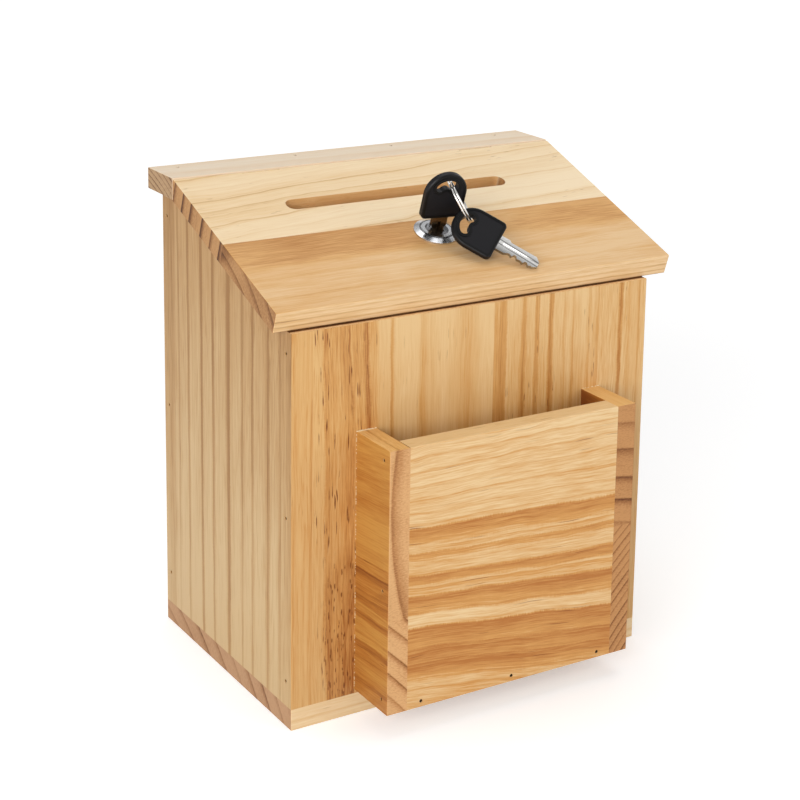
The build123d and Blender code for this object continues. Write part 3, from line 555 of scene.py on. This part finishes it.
def keyPlastic(key):
    # satin black with a fine moulded texture, its sunken field a little greyer than the rim
    material, shader, flow = newMaterial(key + "_plastic", {"Specular IOR Level": 0.2})
    place = objectPlace(flow)
    grainy = flow.noise(place, 2600.0, 2.0, 0.6) - 0.5
    handled = flow.noise(place, 160.0, 3.0, 0.6)
    rim = fromMiddle(place, key, headFace)
    colour = flow.mix(rim, (0.006, 0.0055, 0.007, 1), (0.002, 0.002, 0.002, 1))
    flow.feed(shader.inputs["Base Color"], colour)
    flow.feed(shader.inputs["Roughness"], 0.36 + handled * 0.14 + grainy * 0.1 - rim * 0.12)
    bump = flow.node("ShaderNodeBump", None, {"Strength": 0.35, "Distance": 0.00003, "Height": grainy})
    flow.feed(shader.inputs["Normal"], bump)
    return material


dress(keyPlastic("key"), ["key_head"])
dress(keyPlastic("spare"), ["spare_key_head"])
print("metal and plastic finished")


def startEditing():
    bpy.ops.object.mode_set(mode="EDIT")
    bpy.ops.mesh.select_all(action="SELECT")


def stopEditing():
    bpy.ops.mesh.select_all(action="SELECT")
    bpy.ops.mesh.normals_make_consistent(inside=False)
    bpy.ops.object.mode_set(mode="OBJECT")


def applyPlace(piece):
    bpy.ops.object.select_all(action="DESELECT")
    piece.select_set(True)
    bpy.context.view_layer.objects.active = piece
    bpy.ops.object.transform_apply(location=True, rotation=True, scale=True)


# Split ring of round wire, two turns wound about the ring's own axis
ringWire = {
    "centre": (0.0075941, -0.0178072, 0.2303277), "toKey": (-0.582136, -0.289009, 0.759995),
    "axis": (0.791217, -0.416702, 0.447589), "start": 215.0, "radius": 0.012, "wire": 0.0005,
    "height": 0.0025, "turns": 2, "sides": 14, "steps": 192, "smooth": 50,
}


def makeRing():
    half = ringWire["height"] / 2
    bpy.ops.object.select_all(action="DESELECT")
    bpy.ops.mesh.primitive_circle_add(vertices=ringWire["sides"], radius=ringWire["wire"],
                                      location=(ringWire["radius"], 0, -half), rotation=(math.pi / 2, 0, 0))
    ring = bpy.context.object
    ring.name = "split_ring_wire"
    applyPlace(ring)
    winding = ring.modifiers.new("winding", "SCREW")
    winding.axis = "Z"
    winding.angle = 2 * math.pi * ringWire["turns"]
    winding.screw_offset = ringWire["height"]
    winding.steps = ringWire["steps"]
    winding.render_steps = ringWire["steps"]
    bpy.ops.object.modifier_apply(modifier=winding.name)
    startEditing()
    bpy.ops.mesh.fill_holes(sides=0)
    stopEditing()
    bpy.ops.object.shade_smooth_by_angle(angle=math.radians(ringWire["smooth"]))
    toKey, axis = Vector(ringWire["toKey"]), Vector(ringWire["axis"])
    turned = Matrix((toKey, axis.cross(toKey), axis)).transposed().to_4x4()
    start = Matrix.Rotation(math.radians(ringWire["start"]), 4, "Z")
    ring.matrix_world = Matrix.Translation(ringWire["centre"]) @ turned @ start
    applyPlace(ring)
    ring.data.materials.append(metalMaterials["ring_nickel"])
    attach(ring, "ring")
    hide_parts("split_ring")


makeRing()

# Beads of glue squeezed out where the pocket meets the front
glue = {
    "radius": 0.00042, "sides": 8, "rows": 5, "stretch": (0.8, 0.75, 1.3), "flat": 0.45, "smooth": 60,
    "seed": 5,
    "seams": {
        "side": {"from": (-0.0676, -0.05412, 0.014), "to": (-0.0676, -0.05412, 0.137), "beads": 90,
                 "size": (0.3, 0.75)},
        "leftTop": {"from": (-0.0672, -0.0542, 0.1386), "to": (-0.0572, -0.0542, 0.1386), "beads": 26,
                    "size": (0.8, 1.4)},
        "rightTop": {"from": (0.0572, -0.0542, 0.1386), "to": (0.0672, -0.0542, 0.1386), "beads": 12,
                     "size": (0.5, 1.0)}},
}


def makeGlue():
    random.seed(glue["seed"])
    bpy.ops.object.select_all(action="DESELECT")
    bpy.ops.mesh.primitive_uv_sphere_add(segments=glue["sides"], ring_count=glue["rows"],
                                         radius=glue["radius"])
    bead = bpy.context.object
    startEditing()
    bpy.ops.transform.resize(value=glue["stretch"])
    bpy.ops.mesh.bisect(plane_co=(0, glue["radius"] * glue["flat"], 0), plane_no=alongY, use_fill=True,
                        clear_outer=True)
    stopEditing()
    bpy.ops.object.shade_smooth_by_angle(angle=math.radians(glue["smooth"]))
    beads = []
    for seam in glue["seams"].values():
        start, end = Vector(seam["from"]), Vector(seam["to"])
        along = (end - start).to_track_quat("Z", "Y").to_matrix().to_4x4()
        for _ in range(seam["beads"]):
            drop = bead.copy()
            drop.data = bead.data.copy()
            bpy.context.collection.objects.link(drop)
            at = start.lerp(end, random.random())
            size = random.uniform(*seam["size"])
            drop.matrix_world = Matrix.Translation(at) @ along @ Matrix.Scale(size, 4)
            beads.append(drop)
    bpy.data.objects.remove(bead)
    bpy.ops.object.select_all(action="DESELECT")
    for drop in beads:
        drop.select_set(True)
    bpy.context.view_layer.objects.active = beads[0]
    bpy.ops.object.join()
    piece = bpy.context.object
    piece.name = "glue_beads"
    applyPlace(piece)
    material, shader, flow = newMaterial("dried_glue", {"Roughness": 0.35})
    cloudy = flow.noise(objectPlace(flow), 900.0)
    flow.feed(shader.inputs["Base Color"], flow.mix(cloudy, (0.62, 0.44, 0.22, 1), (0.86, 0.74, 0.52, 1)))
    piece.data.materials.append(material)
    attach(piece, "case")


makeGlue()
print("ring wire and glue beads made")


studio = {
    "floorSize": 9.0, "floorTone": 0.82, "glowNear": 0.34, "glowFar": 0.62, "worldStrength": 0.42,
    "glowDistance": (0.35, 2.2),        # metres from the box over which the floor's glow grows
    "glowLeft": (-50, 250),             # and millimetres to its left
    "lamps": {"key": {"at": (-1.85, -1.6, 0.85), "size": 1.5, "power": 44.0},
              "fill": {"at": (1.7, -1.6, 1.0), "size": 1.8, "power": 13.0},
              "top": {"at": (0.4, 0.3, 2.4), "size": 1.8, "power": 17.0}},
    "aim": (0, 0, 0.12),
    # what polished metal sees: the white backdrop up to the lamps' height, and above it a dark
    # ceiling with lit panels
    "ceiling": [(0.0, 1.0), (0.36, 1.0), (0.48, 0.4), (0.6, 0.3), (0.7, 0.65), (0.78, 0.5), (0.86, 0.85),
                (0.92, 0.8), (1.0, 0.4)],
}


def hangLamps():
    for name, lamp in studio["lamps"].items():
        bpy.ops.object.light_add(type="AREA", location=lamp["at"])
        light = bpy.context.object
        light.name = name + "_light"
        light.data.shape = "SQUARE"
        light.data.size = lamp["size"]
        light.data.energy = lamp["power"]
        aim = Vector(studio["aim"]) - Vector(lamp["at"])
        light.rotation_euler = aim.to_track_quat("-Z", "Y").to_euler()


def lightRay(flow, kind):
    return flow.node("ShaderNodeLightPath", None, None, kind)


def layFloor():
    # pale floor that looks white to the camera and in metal, and keeps the box's shadow
    bpy.ops.mesh.primitive_plane_add(size=studio["floorSize"], location=(0, 0, 0))
    floor = bpy.context.object
    floor.name = "studio_floor"
    material, shader, flow = newMaterial("floor_white", {"Roughness": 0.9, "Specular IOR Level": 0.1})
    shader.inputs["Base Color"].default_value = (studio["floorTone"],) * 3 + (1,)
    place = objectPlace(flow)
    away = flow.node("ShaderNodeVectorMath", {"operation": "LENGTH"}, {0: place}, "Value")
    left = place.along((-1, 0, 0))
    lit = away.step(*studio["glowDistance"]).larger(left.step(*studio["glowLeft"]))
    glow = studio["glowNear"] + lit * (studio["glowFar"] - studio["glowNear"])
    seen = (lightRay(flow, "Is Camera Ray") + lightRay(flow, "Is Glossy Ray")).step(0.0, 1.0)
    flow.feed(shader.inputs["Emission Color"], glow * seen)
    shader.inputs["Emission Strength"].default_value = 1.0
    floor.data.materials.append(material)


def lightWorld():
    world = bpy.data.worlds.new("studioWorld")
    bpy.context.scene.world = world
    world.use_nodes = True
    background = world.node_tree.nodes["Background"]
    flow = Flow(world.node_tree)
    direction = flow.node("ShaderNodeTexCoord", None, None, "Generated")
    height = flow.node("ShaderNodeSeparateXYZ", None, {0: direction}, "Z")
    plain = studio["worldStrength"]
    outside = plain + lightRay(flow, "Is Glossy Ray") * (height.ramp(studio["ceiling"]) - plain)
    strength = outside + lightRay(flow, "Is Camera Ray") * (1 - outside)
    flow.feed(background.inputs["Strength"], strength)
    background.inputs["Color"].default_value = (1, 1, 1, 1)


hangLamps()
layFloor()
lightWorld()

# Camera of the photograph, placed in metres and turned in radians
camera = {"at": (-0.471119, -0.771691, 0.435626), "heading": 0.5713, "dip": 0.2118, "roll": 0.0216,
          "lens": 86.487, "shiftX": -0.0876, "shiftY": -0.2841, "sensor": 36.0, "farthest": 50.0}


def placeCamera():
    heading, dip, roll = camera["heading"], camera["dip"], camera["roll"]
    forward = Vector((math.sin(heading) * math.cos(dip), math.cos(heading) * math.cos(dip), -math.sin(dip)))
    side = Vector((math.cos(heading), -math.sin(heading), 0))
    above = side.cross(forward)
    right = side * math.cos(roll) + above * math.sin(roll)
    up = above * math.cos(roll) - side * math.sin(roll)
    bpy.ops.object.camera_add(location=camera["at"])
    view = bpy.context.object
    turned = Matrix((right, up, -forward)).transposed().to_4x4()
    view.matrix_world = Matrix.Translation(camera["at"]) @ turned
    view.data.sensor_width = camera["sensor"]
    view.data.lens = camera["lens"]
    view.data.shift_x = camera["shiftX"]
    view.data.shift_y = camera["shiftY"]
    view.data.clip_end = camera["farthest"]
    bpy.context.scene.camera = view


placeCamera()
bpy.context.scene.view_settings.view_transform = "Standard"
print("studio ready")
